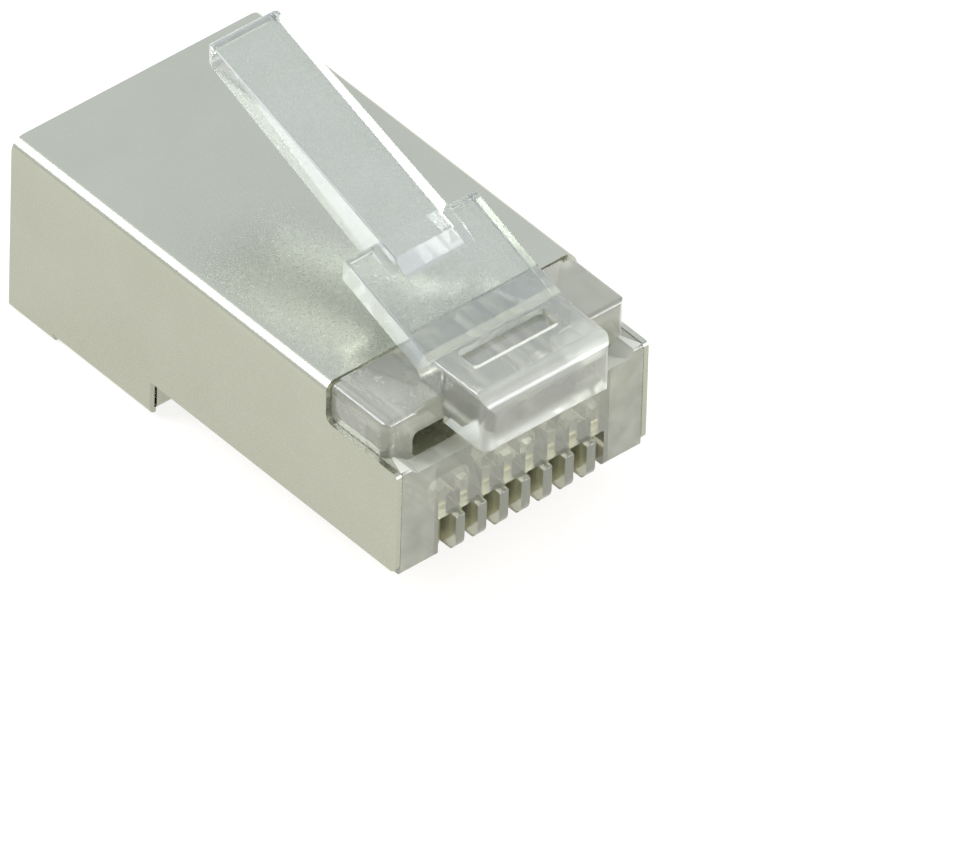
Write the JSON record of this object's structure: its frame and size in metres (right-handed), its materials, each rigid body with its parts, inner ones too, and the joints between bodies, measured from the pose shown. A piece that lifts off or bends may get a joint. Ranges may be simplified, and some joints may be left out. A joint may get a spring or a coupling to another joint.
{
  "type": "rj45 modular plug",
  "caption": "Shielded modular network plug: clear moulded body with a spring latch, folded metal shield, stamped contact blades and a slide-in wire guide.",
  "frame": {"origin": "middle of the plug's box, on the underside of the shield's collar", "axes": "-Y is the mating end with the comb, +Y the cable end, +Z the latch side, +X to the right seen from the cable end with the latch up"},
  "size_m": [0.0116, 0.0226, 0.0137],
  "materials": {
    "clear_moulding": "clear polycarbonate, polished, faint cool tint",
    "shield_sheet": "thin sheet, satin nickel plate",
    "guide_moulding": "clear polycarbonate, slightly milky",
    "contact_plate": "gold-flashed stamped sheet"
  },
  "bodies": {
    "plug": {"housing": "clear_moulding", "shield": "shield_sheet"},
    "latch": {"latch_tab": "clear_moulding"},
    "contacts": {"contact_1": "contact_plate", "contact_2": "contact_plate", "contact_3": "contact_plate", "contact_4": "contact_plate", "contact_5": "contact_plate", "contact_6": "contact_plate", "contact_7": "contact_plate", "contact_8": "contact_plate"},
    "guide": {"wire_guide": "guide_moulding"}
  },
  "joints": [
    {"name": "latch_flex", "type": "hinge", "parent": "plug", "child": "latch", "pos_m": [0, -0.00759, 0.0081], "axis": [-1, 0, 0], "range_deg": [0, 18], "stiffness_Nm_per_rad": 0.06},
    {"name": "contact_crimp", "type": "slide", "parent": "plug", "child": "contacts", "axis": [0, 0, 1], "range_m": [0, 0.0006]},
    {"name": "guide_slide", "type": "slide", "parent": "plug", "child": "guide", "axis": [0, 1, 0], "range_m": [0, 0.02]}
  ]
}
